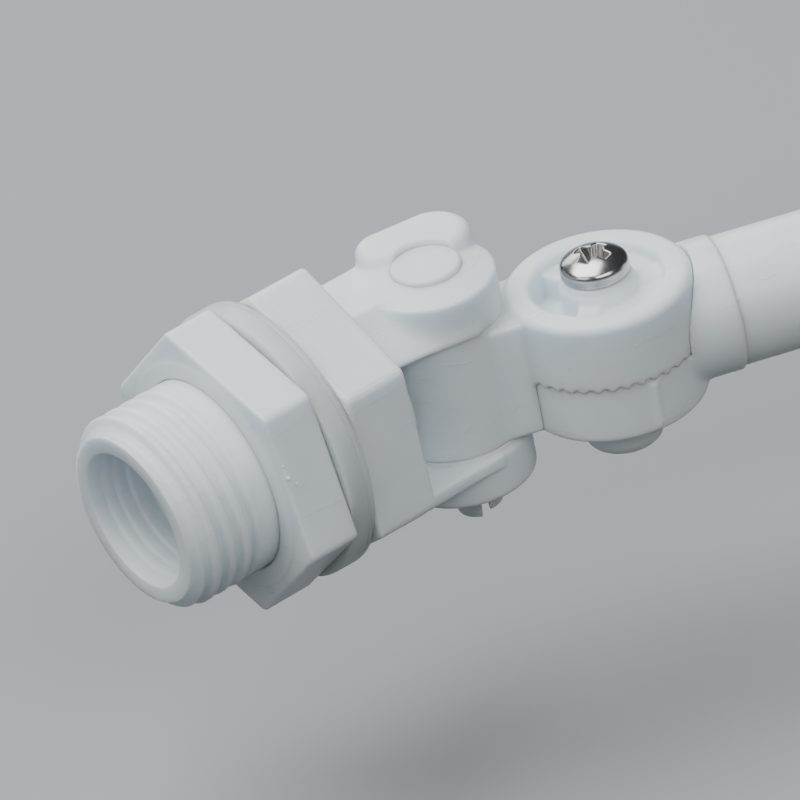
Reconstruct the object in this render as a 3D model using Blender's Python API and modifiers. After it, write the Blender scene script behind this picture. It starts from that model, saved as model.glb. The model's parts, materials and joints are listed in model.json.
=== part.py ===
"""Side-inlet float valve, built as separate named pieces.

Frame: +X runs along the valve's axis, from the threaded inlet towards the float arm. +Z is the pivot
pin's axis. -Y is the side that faces down when the valve hangs in a tank. The origin is on the valve's
axis, at the face of the hexagon flange that clamps the tank wall. Lengths are metres.
"""

import math

import bmesh
import bpy
from mathutils import Vector

MM = 0.001
GAP = 0.3 * MM
RIGHT_ANGLE = math.pi / 2

# Thread and inlet shank
THREAD_CREST_R = 10.45 * MM
THREAD_ROOT_R = 9.6 * MM
THREAD_PITCH = 1.814 * MM
THREAD_RIDGES = 4
FIRST_RIDGE_X = -17.1 * MM
INLET_END_X = -18.9 * MM
BAND_END_X = -10.9 * MM
INLET_END_R = 8.95 * MM
BAND_R = 10.3 * MM

# Bore, from the inlet to the open end of the piston's cylinder
INLET_BORE_R = 7.3 * MM
INLET_BORE_END_X = -15.6 * MM
THROAT_R = 6.2 * MM
THROAT_START_X = -14.6 * MM
SEAT_WALL_X = (-8.6 * MM, -7.0 * MM)
SEAT_HOLE_R = 3.3 * MM
CYLINDER_R = 7.6 * MM

# Hexagons: distance from the axis to a corner, and the angle of one corner from +Y towards +Z
FLANGE_X = (0.0, 7.2 * MM)
FLANGE_CORNER_R = 15.65 * MM
FLANGE_TURN = math.radians(25.5)
NUT_X = (-8.67 * MM, -3.0 * MM)
NUT_CORNER_R = 15.55 * MM
NUT_TURN = math.radians(16.3)
NUT_BORE_R = 10.8 * MM
GASKET_X = (-2.7 * MM, -0.3 * MM)
GASKET_R = 15.3 * MM

# Body behind the flange: a short neck, and two ears for the pivot pin
NECK_R = 11.1 * MM
NECK_END_X = 11.6 * MM
SLEEVE_R = 10.8 * MM
SLEEVE_END_X = 10.2 * MM
PIN_X, PIN_Y = 17.5 * MM, -4.3 * MM
EAR_R = 7.05 * MM
EAR_INNER_Z = 6.8 * MM
EAR_OUTER_Z = 11.75 * MM
EAR_EDGE_Z = 11.2 * MM
EAR_STEM_Z = 11.6 * MM
EAR_STEM_Y = (-6.0 * MM, 2.7 * MM)
EAR_CROWN_R = 4.2 * MM
EAR_CROWN_Z = 12.0 * MM
HOOD_ENDS = ((16.7 * MM, 1.5 * MM, 2.9 * MM), (21.3 * MM, -0.4 * MM, 4.0 * MM))
HOOD_TOP_Z = 13.4 * MM

# Pivot pin
PIN_R = 2.9 * MM
PIN_HOLE_R = 3.2 * MM
PIN_HEAD_R = 3.55 * MM
PIN_HEAD_Z = (11.2 * MM, 13.0 * MM)
PIN_BARB_R = 3.65 * MM
PIN_TIP_Z = -15.7 * MM
PIN_SLOT_WIDTH = 1.3 * MM

# Lever
BARREL_R = 6.8 * MM
BARREL_Z = 6.5 * MM
CAM_Z = 5.0 * MM
SCREW_X, SCREW_Y = 31.5 * MM, -12.8 * MM
ARM_ANGLE = math.radians(-22.8)
DISC_R = 8.96 * MM
DISC_TOP_Z = 6.7 * MM
DISC_FACE_Z = -0.25 * MM
WEB_V = (-3.4 * MM, 5.9 * MM)
WEB_Z = (-6.5 * MM, 6.2 * MM)
KNUCKLE_ROOM_R = 9.35 * MM
WEB_UNDERCUT_Z = 0.2 * MM
RECESS_R = (3.9 * MM, 6.8 * MM)
RECESS_FLOOR_Z = 3.4 * MM
SPOKE_TOP_Z = 5.9 * MM
SPOKE_WIDTH = 2.0 * MM
LEVER_BOSS_R = 3.6 * MM
LEVER_BOSS_TOP_Z = 7.3 * MM

# Face serrations that hold the arm at the chosen angle
TEETH = 40
TOOTH_HEIGHT = 0.5 * MM
SERRATION_INNER_R = 6.4 * MM

# Clamp screw
SCREW_R = 1.75 * MM
SCREW_HOLE_R = 2.05 * MM
SCREW_HEAD_R = 3.5 * MM
SCREW_HEAD_Z = (7.6 * MM, 10.1 * MM)
SCREW_TIP_Z = -9.6 * MM
DRIVE_WIDTH = 0.9 * MM
DRIVE_DEPTH = 1.2 * MM

# Arm: serrated knuckle with a socket collar, then the tube
KNUCKLE_R = 8.95 * MM
KNUCKLE_FACE_Z = -1.05 * MM
KNUCKLE_BOTTOM_Z = -6.67 * MM
BOSS_R = 3.9 * MM
BOSS_BOTTOM_Z = -12.1 * MM
COLLAR_R = 7.0 * MM
COLLAR_END = 12.4 * MM
SPIGOT_R = 5.0 * MM
SPIGOT_END = 27.0 * MM
SPIGOT_BORE_R = 3.6 * MM
TUBE_R = 6.67 * MM
TUBE_BORE_R = 5.3 * MM
TUBE_START = 12.7 * MM
TUBE_END = 132.0 * MM

# Float and the plug that carries it
PLUG_FLANGE_R = 7.0 * MM
PLUG_FLANGE_LENGTH = 4.0 * MM
STUD_R = 4.0 * MM
STUD_END = 158.0 * MM
FLOAT_R = 40.0 * MM
FLOAT_WALL = 1.6 * MM
FLOAT_CENTRE = 186.0 * MM
FLOAT_NECK_R = 8.0 * MM
FLOAT_NECK_START = 143.5 * MM
FLOAT_BORE_R = 4.35 * MM
FLOAT_NUT = (137.0 * MM, 143.0 * MM)
FLOAT_NUT_CORNER_R = 8.0 * MM

# Flow nozzle, piston and its washer
NOZZLE_ORIFICE_R = 1.6 * MM
NOZZLE_BODY_R = 3.0 * MM
NOZZLE_FLANGE_R = 5.8 * MM
NOZZLE_X = (-10.0 * MM, -5.0 * MM)
NOZZLE_FLANGE_THICK = 1.1 * MM
PISTON_R = 7.2 * MM
PISTON_X = (-2.3 * MM, 9.9 * MM)
PISTON_PAD_R = 2.0 * MM
PISTON_PAD_X = 10.4 * MM
WASHER_R = 4.4 * MM
WASHER_X = (-2.55 * MM, -0.5 * MM)
WASHER_RECESS_R = 4.7 * MM

ROUND_STEPS = 40
FLOAT_STEPS = 32

WHITE = ("white_nylon", (0.86, 0.89, 0.90), 0.42, 0.0)
WHITE_SOFT = ("white_acetal", (0.80, 0.83, 0.84), 0.5, 0.0)
SILICONE = ("silicone", (0.62, 0.66, 0.66), 0.35, 0.0)
RUBBER = ("black_rubber", (0.03, 0.03, 0.03), 0.6, 0.0)
STEEL = ("stainless_steel", (0.62, 0.61, 0.60), 0.22, 1.0)


def clear_scene():
    """Starts from an empty file."""
    for old in list(bpy.data.objects):
        bpy.data.objects.remove(old, do_unlink=True)


def new_collection(name):
    """A collection linked to the scene."""
    collection = bpy.data.collections.new(name)
    bpy.context.scene.collection.children.link(collection)
    return collection


def material(spec):
    """A Principled material from (name, colour, roughness, metallic), made once."""
    name, colour, roughness, metallic = spec
    found = bpy.data.materials.get(name)
    if found:
        return found
    made = bpy.data.materials.new(name)
    made.use_nodes = True
    shader = made.node_tree.nodes["Principled BSDF"]
    shader.inputs["Base Color"].default_value = (*colour, 1.0)
    shader.inputs["Roughness"].default_value = roughness
    shader.inputs["Metallic"].default_value = metallic
    return made


def add_object(name, mesh, collection, spec=None):
    """Puts a mesh in the scene under a name, with a material where it has one."""
    obj = bpy.data.objects.new(name, mesh)
    collection.objects.link(obj)
    if spec:
        mesh.materials.append(material(spec))
    else:
        obj.hide_render = True
        obj.display_type = "WIRE"
    return obj


def turned(name, profile, collection, spec=None, steps=ROUND_STEPS, closed=False):
    """A turned solid about its local Z. The profile is (radius, height) points that run down the outer
    side; it starts and ends on the axis, or closes on itself where the piece is a ring."""
    mesh = bpy.data.meshes.new(name)
    points = [(radius, 0.0, height) for radius, height in profile]
    edges = [(i, i + 1) for i in range(len(points) - 1)]
    if closed:
        edges.append((len(points) - 1, 0))
    mesh.from_pydata(points, edges, [])
    obj = add_object(name, mesh, collection, spec)
    screw = obj.modifiers.new("Turn", "SCREW")
    screw.axis = "Z"
    screw.angle = 2 * math.pi
    screw.steps = steps
    screw.render_steps = steps
    screw.use_merge_vertices = True
    screw.merge_threshold = 0.00001
    return obj


def point_along_x(obj):
    """Turns a piece's local Z onto the valve's +X."""
    obj.rotation_euler = (0.0, RIGHT_ANGLE, 0.0)


def point_along_arm(obj):
    """Turns a piece's local Z onto the arm, measured from the clamp screw's axis."""
    obj.location = (SCREW_X, SCREW_Y, 0.0)
    obj.rotation_euler = (0.0, RIGHT_ANGLE, ARM_ANGLE)


def box(name, low, high, collection, spec=None, turn=0.0, centre=(0.0, 0.0, 0.0)):
    """A box between two corners, turned about the local Z of a centre point."""
    low, high = Vector(low), Vector(high)
    shape = bmesh.new()
    bmesh.ops.create_cube(shape, size=1.0)
    for vert in shape.verts:
        vert.co = Vector([(low[i] + high[i]) / 2 + vert.co[i] * (high[i] - low[i]) for i in range(3)])
    mesh = bpy.data.meshes.new(name)
    shape.to_mesh(mesh)
    shape.free()
    obj = add_object(name, mesh, collection, spec)
    obj.location = centre
    obj.rotation_euler = (0.0, 0.0, turn)
    return obj


def disc(name, radius, low_z, high_z, collection, spec=None, centre=(0.0, 0.0), segments=ROUND_STEPS):
    """An upright cylinder between two heights."""
    shape = bmesh.new()
    bmesh.ops.create_cone(shape, cap_ends=True, segments=segments, radius1=radius, radius2=radius,
                          depth=high_z - low_z)
    mesh = bpy.data.meshes.new(name)
    shape.to_mesh(mesh)
    shape.free()
    obj = add_object(name, mesh, collection, spec)
    obj.location = (centre[0], centre[1], (low_z + high_z) / 2)
    return obj


def hexagon(name, corner_r, span, turn, collection, spec=None, chamfer=0.0):
    """A hexagonal prism along the valve's X. A corner stands at the turn angle from +Y towards +Z."""
    shape = bmesh.new()
    bmesh.ops.create_cone(shape, cap_ends=True, segments=6, radius1=corner_r, radius2=corner_r,
                          depth=span[1] - span[0])
    mesh = bpy.data.meshes.new(name)
    for vert in shape.verts:
        around = math.atan2(vert.co.y, vert.co.x) + turn
        vert.co = Vector(((span[0] + span[1]) / 2 + vert.co.z,
                          corner_r * math.cos(around), corner_r * math.sin(around)))
    bmesh.ops.recalc_face_normals(shape, faces=shape.faces)
    shape.to_mesh(mesh)
    shape.free()
    obj = add_object(name, mesh, collection, spec)
    if chamfer:
        bevel = obj.modifiers.new("Edges", "BEVEL")
        bevel.width = chamfer
        bevel.segments = 1
    return obj


def combine(obj, other, operation):
    """Adds a Boolean modifier that joins or cuts with another object."""
    boolean = obj.modifiers.new(operation.title(), "BOOLEAN")
    boolean.operation = operation
    boolean.solver = "EXACT"
    boolean.object = other


def join(obj, *others):
    for other in others:
        combine(obj, other, "UNION")


def cut(obj, *others):
    for other in others:
        combine(obj, other, "DIFFERENCE")


def shade(obj):
    """Smooth shading with crisp edges."""
    obj.data.shade_smooth()
    obj.data.set_sharp_from_angle(angle=math.radians(35))


def shank_profile():
    """The inlet shank's outer side, from inside the flange back to the tip, thread ridges included."""
    crest_half, flank = THREAD_PITCH * 0.16, THREAD_PITCH * 0.26
    points = [(0.0, FLANGE_X[1]), (BAND_R, FLANGE_X[1]), (BAND_R, BAND_END_X)]
    for ridge in reversed(range(THREAD_RIDGES)):
        centre = FIRST_RIDGE_X + ridge * THREAD_PITCH
        points += [(THREAD_ROOT_R, centre + crest_half + flank), (THREAD_CREST_R, centre + crest_half),
                   (THREAD_CREST_R, centre - crest_half), (THREAD_ROOT_R, centre - crest_half - flank)]
    points[-1] = (INLET_END_R, INLET_END_X)
    return points + [(0.0, INLET_END_X)]


def bore_profile():
    """The water way through the body, with the wall that carries the nozzle left standing."""
    inlet = [(0.0, SEAT_WALL_X[0]), (THROAT_R, SEAT_WALL_X[0]), (THROAT_R, THROAT_START_X),
             (INLET_BORE_R, INLET_BORE_END_X), (INLET_BORE_R, INLET_END_X - 2 * MM),
             (0.0, INLET_END_X - 2 * MM)]
    cylinder = [(0.0, NECK_END_X + 2 * MM), (CYLINDER_R, NECK_END_X + 2 * MM), (CYLINDER_R, SEAT_WALL_X[1]),
                (0.0, SEAT_WALL_X[1])]
    return inlet, cylinder


def ear(side, helpers):
    """One ear's solids: a stem whose near side slopes out towards the lever, and a round boss."""
    tag = "upper" if side > 0 else "lower"
    inner, outer = side * EAR_INNER_Z, side * EAR_STEM_Z
    stem = box(f"{tag}_ear_stem", (FLANGE_X[1] - MM, PIN_Y - EAR_R, min(inner, outer)),
               (PIN_X, EAR_STEM_Y[1], max(inner, outer)), helpers)
    for vert in stem.data.vertices:
        if abs(vert.co.z) > EAR_INNER_Z + MM and vert.co.y < 0:
            vert.co.y = EAR_STEM_Y[0]
    if side > 0:
        boss = turned(f"{tag}_ear_boss", [(0.0, EAR_CROWN_Z), (EAR_CROWN_R, EAR_CROWN_Z), (EAR_R, EAR_EDGE_Z),
                                          (EAR_R, EAR_INNER_Z), (0.0, EAR_INNER_Z)], helpers)
    else:
        boss = turned(f"{tag}_ear_boss", [(0.0, -EAR_INNER_Z), (EAR_R, -EAR_INNER_Z), (EAR_R, -EAR_OUTER_Z),
                                          (0.0, -EAR_OUTER_Z)], helpers)
    boss.location = (PIN_X, PIN_Y, 0.0)
    return [stem, boss]


def hood(helpers):
    """The raised, round-ended block on the far side of the upper ear."""
    (left_x, left_y, left_r), (right_x, right_y, right_r) = HOOD_ENDS
    left = disc("hood_left", left_r, EAR_INNER_Z, HOOD_TOP_Z, helpers, centre=(left_x, left_y), segments=24)
    right = disc("hood_right", right_r, EAR_INNER_Z, HOOD_TOP_Z, helpers, centre=(right_x, right_y))
    length = math.hypot(right_x - left_x, right_y - left_y)
    turn = math.atan2(right_y - left_y, right_x - left_x)
    middle = box("hood_middle", (0.0, -left_r, EAR_INNER_Z), (length, left_r, HOOD_TOP_Z - GAP / 3), helpers,
                 turn=turn, centre=(left_x, left_y, 0.0))
    return [left, right, middle]


def make_valve_body(parts, helpers):
    body = turned("valve_body", shank_profile(), parts, WHITE)
    point_along_x(body)
    flange = hexagon("flange_hexagon", FLANGE_CORNER_R, FLANGE_X, FLANGE_TURN, helpers)
    neck = turned("neck_round", [(0.0, NECK_END_X), (NECK_R, NECK_END_X), (NECK_R, FLANGE_X[0] + MM),
                                 (0.0, FLANGE_X[0] + MM)], helpers)
    point_along_x(neck)
    join(body, flange, neck, *ear(1, helpers), *ear(-1, helpers), *hood(helpers))
    outlet = box("outlet_gap", (FLANGE_X[1], -20 * MM, -EAR_INNER_Z), (30 * MM, 20 * MM, EAR_INNER_Z), helpers)
    sleeve = turned("cylinder_sleeve", [(0.0, SLEEVE_END_X), (SLEEVE_R, SLEEVE_END_X), (SLEEVE_R, FLANGE_X[1] - MM),
                                        (0.0, FLANGE_X[1] - MM)], helpers)
    point_along_x(sleeve)
    cut(body, outlet)
    join(body, sleeve)
    inlet, cylinder = bore_profile()
    for name, profile in (("inlet_bore", inlet), ("cylinder_bore", cylinder),
                          ("seat_hole", [(0.0, 0.0), (SEAT_HOLE_R, 0.0), (SEAT_HOLE_R, THROAT_START_X),
                                         (0.0, THROAT_START_X)])):
        cutter = turned(name, profile, helpers)
        point_along_x(cutter)
        cut(body, cutter)
    barrel_room = disc("barrel_room", BARREL_R + 2 * GAP, -EAR_INNER_Z, EAR_INNER_Z, helpers,
                       centre=(PIN_X, PIN_Y))
    head_room_r, head_room_z = PIN_HEAD_R + GAP, PIN_HEAD_Z[0] - GAP
    pin_room = turned("pin_room", [(0.0, 20 * MM), (head_room_r, 20 * MM), (head_room_r, head_room_z),
                                   (PIN_HOLE_R, head_room_z), (PIN_HOLE_R, -20 * MM), (0.0, -20 * MM)], helpers)
    pin_room.location = (PIN_X, PIN_Y, 0.0)
    cut(body, barrel_room, pin_room)
    shade(body)
    return body


def make_lock_nut(parts, helpers):
    nut = hexagon("lock_nut", NUT_CORNER_R, NUT_X, NUT_TURN, parts, WHITE, chamfer=0.5 * MM)
    bore = turned("nut_bore", [(0.0, 0.0), (NUT_BORE_R, 0.0), (NUT_BORE_R, INLET_END_X), (0.0, INLET_END_X)],
                  helpers)
    point_along_x(bore)
    cut(nut, bore)
    return nut


def ring_profile(inner_r, outer_r, low, high):
    """A plain ring's closed profile."""
    return [(inner_r, high), (outer_r, high), (outer_r, low), (inner_r, low)]


def make_gasket(parts):
    low, high = GASKET_X
    edge = 0.5 * MM
    profile = [(NUT_BORE_R, high), (GASKET_R - edge, high), (GASKET_R, high - edge), (GASKET_R, low + edge),
               (GASKET_R - edge, low), (NUT_BORE_R, low)]
    gasket = turned("sealing_gasket", profile, parts, SILICONE, closed=True)
    point_along_x(gasket)
    shade(gasket)
    return gasket


def make_nozzle(parts):
    start, lip = NOZZLE_X
    shoulder = start + NOZZLE_FLANGE_THICK
    profile = [(NOZZLE_ORIFICE_R, lip), (NOZZLE_BODY_R - 0.6 * MM, lip), (NOZZLE_BODY_R, lip - 0.8 * MM),
               (NOZZLE_BODY_R, shoulder), (NOZZLE_FLANGE_R, shoulder), (NOZZLE_FLANGE_R, start),
               (NOZZLE_BODY_R, start), (NOZZLE_ORIFICE_R, start + 2 * MM)]
    nozzle = turned("flow_nozzle", profile, parts, WHITE_SOFT, closed=True)
    point_along_x(nozzle)
    shade(nozzle)
    return nozzle


def make_piston(parts):
    front, rear = PISTON_X
    floor = WASHER_X[1] + GAP
    profile = [(0.0, PISTON_PAD_X), (PISTON_PAD_R, PISTON_PAD_X), (PISTON_PAD_R, rear), (PISTON_R, rear),
               (PISTON_R, 6.0 * MM), (PISTON_R - MM, 5.4 * MM), (PISTON_R - MM, 2.4 * MM),
               (PISTON_R, 1.8 * MM), (PISTON_R, front + MM), (PISTON_R - MM, front), (WASHER_RECESS_R, front),
               (WASHER_RECESS_R, floor), (0.0, floor)]
    piston = turned("piston", profile, parts, WHITE_SOFT)
    point_along_x(piston)
    shade(piston)
    washer = turned("piston_washer", [(0.0, WASHER_X[1]), (WASHER_R, WASHER_X[1]), (WASHER_R, WASHER_X[0]),
                                      (0.0, WASHER_X[0])], parts, RUBBER)
    point_along_x(washer)
    shade(washer)
    return piston


def make_pivot_pin(parts, helpers):
    barb_top = -EAR_OUTER_Z - GAP
    low_head, top_head = PIN_HEAD_Z
    profile = [(0.0, top_head), (PIN_HEAD_R - 0.3 * MM, top_head), (PIN_HEAD_R, top_head - 0.3 * MM),
               (PIN_HEAD_R, low_head), (PIN_R, low_head), (PIN_R, barb_top), (PIN_BARB_R, barb_top),
               (PIN_BARB_R, barb_top - 0.8 * MM), (PIN_R - 0.9 * MM, PIN_TIP_Z), (0.0, PIN_TIP_Z)]
    pin = turned("pivot_pin", profile, parts, WHITE_SOFT, steps=32)
    pin.location = (PIN_X, PIN_Y, 0.0)
    slot = box("prong_slot", (-10 * MM, -PIN_SLOT_WIDTH / 2, PIN_TIP_Z - 2 * MM),
               (10 * MM, PIN_SLOT_WIDTH / 2, -EAR_INNER_Z), helpers, turn=math.radians(70),
               centre=(PIN_X, PIN_Y, 0.0))
    cut(pin, slot)
    shade(pin)
    return pin


def serrated_disc(name, radius, face_z, back_z, collection, spec=None):
    """A disc with radial teeth on one face: every other rim point of that face stands proud."""
    inner = SERRATION_INNER_R
    rings = [(radius, back_z, False), (radius, face_z, True), (inner, face_z, True),
             (inner - TOOTH_HEIGHT, face_z, False)]
    outward = 1.0 if face_z > back_z else -1.0
    shape = bmesh.new()
    made = []
    for ring_r, height, toothed in rings:
        ring = []
        for step in range(2 * TEETH):
            angle = math.pi * step / TEETH + ARM_ANGLE
            rise = outward * TOOTH_HEIGHT / 2 * (1 if step % 2 else -1) if toothed else 0.0
            ring.append(shape.verts.new((ring_r * math.cos(angle), ring_r * math.sin(angle), height + rise)))
        made.append(ring)
    for below, above in zip(made, made[1:]):
        for step in range(2 * TEETH):
            after = (step + 1) % (2 * TEETH)
            shape.faces.new((below[step], below[after], above[after], above[step]))
    shape.faces.new(made[0])
    shape.faces.new(made[-1])
    bmesh.ops.recalc_face_normals(shape, faces=shape.faces)
    mesh = bpy.data.meshes.new(name)
    shape.to_mesh(mesh)
    shape.free()
    obj = add_object(name, mesh, collection, spec)
    obj.location = (SCREW_X, SCREW_Y, 0.0)
    return obj


def make_lever(parts, helpers):
    screw_at = (SCREW_X, SCREW_Y, 0.0)
    lever = serrated_disc("lever", DISC_R, DISC_FACE_Z, DISC_TOP_Z, parts, WHITE)
    barrel = disc("lever_barrel", BARREL_R, -BARREL_Z, BARREL_Z, helpers, centre=(PIN_X, PIN_Y))
    cam = disc("lever_cam", BARREL_R, -CAM_Z, CAM_Z, helpers, centre=(PIN_X, 0.0))
    reach = math.hypot(SCREW_X - PIN_X, SCREW_Y - PIN_Y)
    web = box("lever_web", (-reach, WEB_V[0], WEB_Z[0]), (-2 * MM, WEB_V[1], WEB_Z[1]), helpers,
              turn=ARM_ANGLE, centre=screw_at)
    knuckle_room = disc("knuckle_room", KNUCKLE_ROOM_R, -10 * MM, WEB_UNDERCUT_Z, helpers,
                        centre=(SCREW_X, SCREW_Y))
    cut(web, knuckle_room)
    boss = disc("lever_boss", LEVER_BOSS_R, RECESS_FLOOR_Z - MM, LEVER_BOSS_TOP_Z, helpers,
                centre=(SCREW_X, SCREW_Y))
    join(lever, web, barrel, cam, boss)
    pockets = turned("lever_pockets", ring_profile(*RECESS_R, RECESS_FLOOR_Z, 9 * MM), helpers, closed=True)
    pockets.location = screw_at
    for spoke in range(3):
        bar = box(f"lever_spoke_{spoke}", (0.0, -SPOKE_WIDTH / 2, 0.0), (DISC_R, SPOKE_WIDTH / 2, SPOKE_TOP_Z),
                  helpers, turn=ARM_ANGLE + math.pi * 2 * spoke / 3, centre=screw_at)
        cut(pockets, bar)
    cut(lever, pockets)
    cut(lever,
        disc("lever_pin_hole", PIN_HOLE_R, -20 * MM, 20 * MM, helpers, centre=(PIN_X, PIN_Y)),
        disc("lever_screw_hole", SCREW_HOLE_R, -20 * MM, 20 * MM, helpers, centre=(SCREW_X, SCREW_Y)))
    shade(lever)
    return lever


def make_clamp_screw(parts, helpers):
    base, top = SCREW_HEAD_Z
    dome = 5
    rim = base + 0.8 * MM
    profile = [(0.0, top)]
    for step in range(1, dome + 1):
        angle = RIGHT_ANGLE * step / dome
        profile.append((SCREW_HEAD_R * math.sin(angle), rim + (top - rim) * math.cos(angle)))
    profile += [(SCREW_HEAD_R, base), (SCREW_R, base), (SCREW_R, SCREW_TIP_Z + MM), (0.0, SCREW_TIP_Z)]
    screw = turned("clamp_screw", profile, parts, STEEL, steps=32)
    screw.location = (SCREW_X, SCREW_Y, 0.0)
    for turn in (20.0, 110.0):
        arm = box(f"drive_slot_{int(turn)}", (-1.9 * MM, -DRIVE_WIDTH / 2, top - DRIVE_DEPTH),
                  (1.9 * MM, DRIVE_WIDTH / 2, top + MM), helpers, turn=math.radians(turn),
                  centre=(SCREW_X, SCREW_Y, 0.0))
        cut(screw, arm)
    shade(screw)
    return screw


def make_arm_knuckle(parts, helpers):
    knuckle = serrated_disc("arm_knuckle", KNUCKLE_R, KNUCKLE_FACE_Z, KNUCKLE_BOTTOM_Z, parts, WHITE)
    boss = turned("knuckle_boss", [(0.0, KNUCKLE_BOTTOM_Z + MM), (BOSS_R, KNUCKLE_BOTTOM_Z + MM),
                                   (BOSS_R, BOSS_BOTTOM_Z + 1.4 * MM), (BOSS_R - 0.5 * MM, BOSS_BOTTOM_Z + 0.5 * MM),
                                   (BOSS_R - 1.5 * MM, BOSS_BOTTOM_Z), (0.0, BOSS_BOTTOM_Z)], helpers, steps=32)
    boss.location = (SCREW_X, SCREW_Y, 0.0)
    collar = turned("knuckle_collar", [(0.0, SPIGOT_END), (SPIGOT_R - 0.6 * MM, SPIGOT_END),
                                       (SPIGOT_R, SPIGOT_END - MM), (SPIGOT_R, COLLAR_END),
                                       (COLLAR_R - 0.4 * MM, COLLAR_END), (COLLAR_R, COLLAR_END - 0.5 * MM),
                                       (COLLAR_R, 5 * MM), (0.0, 5 * MM)], helpers)
    point_along_arm(collar)
    lever_room = disc("lever_room", KNUCKLE_ROOM_R, KNUCKLE_FACE_Z - GAP, 12 * MM, helpers,
                      centre=(SCREW_X, SCREW_Y))
    bottom_trim = box("collar_bottom_trim", (0.0, -10 * MM, -10 * MM), (KNUCKLE_R - MM, 10 * MM, KNUCKLE_BOTTOM_Z),
                      helpers, turn=ARM_ANGLE, centre=(SCREW_X, SCREW_Y, 0.0))
    cut(collar, lever_room, bottom_trim)
    join(knuckle, boss, collar)
    spigot_bore = turned("spigot_bore", [(0.0, SPIGOT_END + MM), (SPIGOT_BORE_R, SPIGOT_END + MM),
                                         (SPIGOT_BORE_R, COLLAR_END), (0.0, COLLAR_END)], helpers, steps=24)
    point_along_arm(spigot_bore)
    screw_hole = disc("knuckle_screw_hole", SCREW_HOLE_R, SCREW_TIP_Z - MM, 5 * MM, helpers,
                      centre=(SCREW_X, SCREW_Y))
    cut(knuckle, spigot_bore, screw_hole)
    shade(knuckle)
    return knuckle


def make_arm_tube(parts):
    tube = turned("arm_tube", ring_profile(TUBE_BORE_R, TUBE_R, TUBE_START, TUBE_END), parts, WHITE,
                  closed=True)
    point_along_arm(tube)
    shade(tube)
    return tube


def make_end_plug(parts):
    seat = TUBE_END + GAP
    profile = [(0.0, STUD_END), (STUD_R - 0.6 * MM, STUD_END), (STUD_R, STUD_END - MM),
               (STUD_R, seat + PLUG_FLANGE_LENGTH), (PLUG_FLANGE_R - 0.5 * MM, seat + PLUG_FLANGE_LENGTH),
               (PLUG_FLANGE_R, seat + PLUG_FLANGE_LENGTH - 0.5 * MM), (PLUG_FLANGE_R, seat),
               (SPIGOT_R, seat), (SPIGOT_R, seat - 13 * MM), (SPIGOT_R - 0.6 * MM, seat - 14 * MM),
               (0.0, seat - 14 * MM)]
    plug = turned("arm_end_plug", profile, parts, WHITE_SOFT, steps=FLOAT_STEPS)
    point_along_arm(plug)
    shade(plug)
    return plug


def arc(radius, start, end, count):
    """(radius, height) points on a circle about the float's centre, by angle from the arm's direction."""
    angles = [start + (end - start) * step / count for step in range(count + 1)]
    return [(radius * math.sin(angle), FLOAT_CENTRE + radius * math.cos(angle)) for angle in angles]


def make_float(parts, helpers):
    inside = FLOAT_R - FLOAT_WALL
    half_gap = GAP / 2 / FLOAT_R
    far_outer = arc(FLOAT_R, 0.0, RIGHT_ANGLE - half_gap, 8)
    far_inner = arc(inside, RIGHT_ANGLE - half_gap, 0.0, 8)
    far = turned("float_far_shell", far_outer + far_inner, parts, WHITE, steps=FLOAT_STEPS)
    neck_outer = math.pi - math.asin(FLOAT_NECK_R / FLOAT_R)
    neck_inner = math.pi - math.asin(FLOAT_NECK_R / inside)
    boss_end = STUD_END + 3 * MM
    near_outer = arc(FLOAT_R, RIGHT_ANGLE + half_gap, neck_outer, 8)
    near_inner = arc(inside, neck_inner, RIGHT_ANGLE + half_gap, 8)
    near_profile = near_outer + [(FLOAT_NECK_R, FLOAT_NECK_START), (FLOAT_BORE_R, FLOAT_NECK_START),
                                 (FLOAT_BORE_R, boss_end), (FLOAT_NECK_R, boss_end)] + near_inner
    near = turned("float_near_shell", near_profile, parts, WHITE, steps=FLOAT_STEPS, closed=True)
    low, high = FLOAT_NUT
    neck_nut = turned("float_neck_nut", [(0.0, high), (FLOAT_NUT_CORNER_R, high), (FLOAT_NUT_CORNER_R, low),
                                         (0.0, low)], parts, WHITE_SOFT, steps=6)
    nut_bore = turned("float_nut_bore", [(0.0, high + MM), (FLOAT_BORE_R, high + MM), (FLOAT_BORE_R, low - MM),
                                         (0.0, low - MM)], helpers, steps=FLOAT_STEPS)
    cut(neck_nut, nut_bore)
    for piece in (far, near, neck_nut, nut_bore):
        point_along_arm(piece)
    shade(far)
    shade(near)


def main():
    clear_scene()
    parts = new_collection("float_valve")
    helpers = new_collection("cutters")
    make_valve_body(parts, helpers)
    make_lock_nut(parts, helpers)
    make_gasket(parts)
    make_nozzle(parts)
    make_piston(parts)
    make_pivot_pin(parts, helpers)
    make_lever(parts, helpers)
    make_clamp_screw(parts, helpers)
    make_arm_knuckle(parts, helpers)
    make_arm_tube(parts)
    make_end_plug(parts)
    make_float(parts, helpers)


main()
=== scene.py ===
"""The float valve's looks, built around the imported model.

Moulded pieces are implicit solids: a function gives the distance to a piece's surface, smooth unions
and cuts give it the soft fillets of a moulding, and surface_net turns it into one closed mesh. Turned
pieces are swept profiles. Lengths in the shape code are millimetres in the object's own frame.
"""

import json
import math

import bmesh
import bpy
import numpy as np
from mathutils import Matrix, Vector


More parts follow.
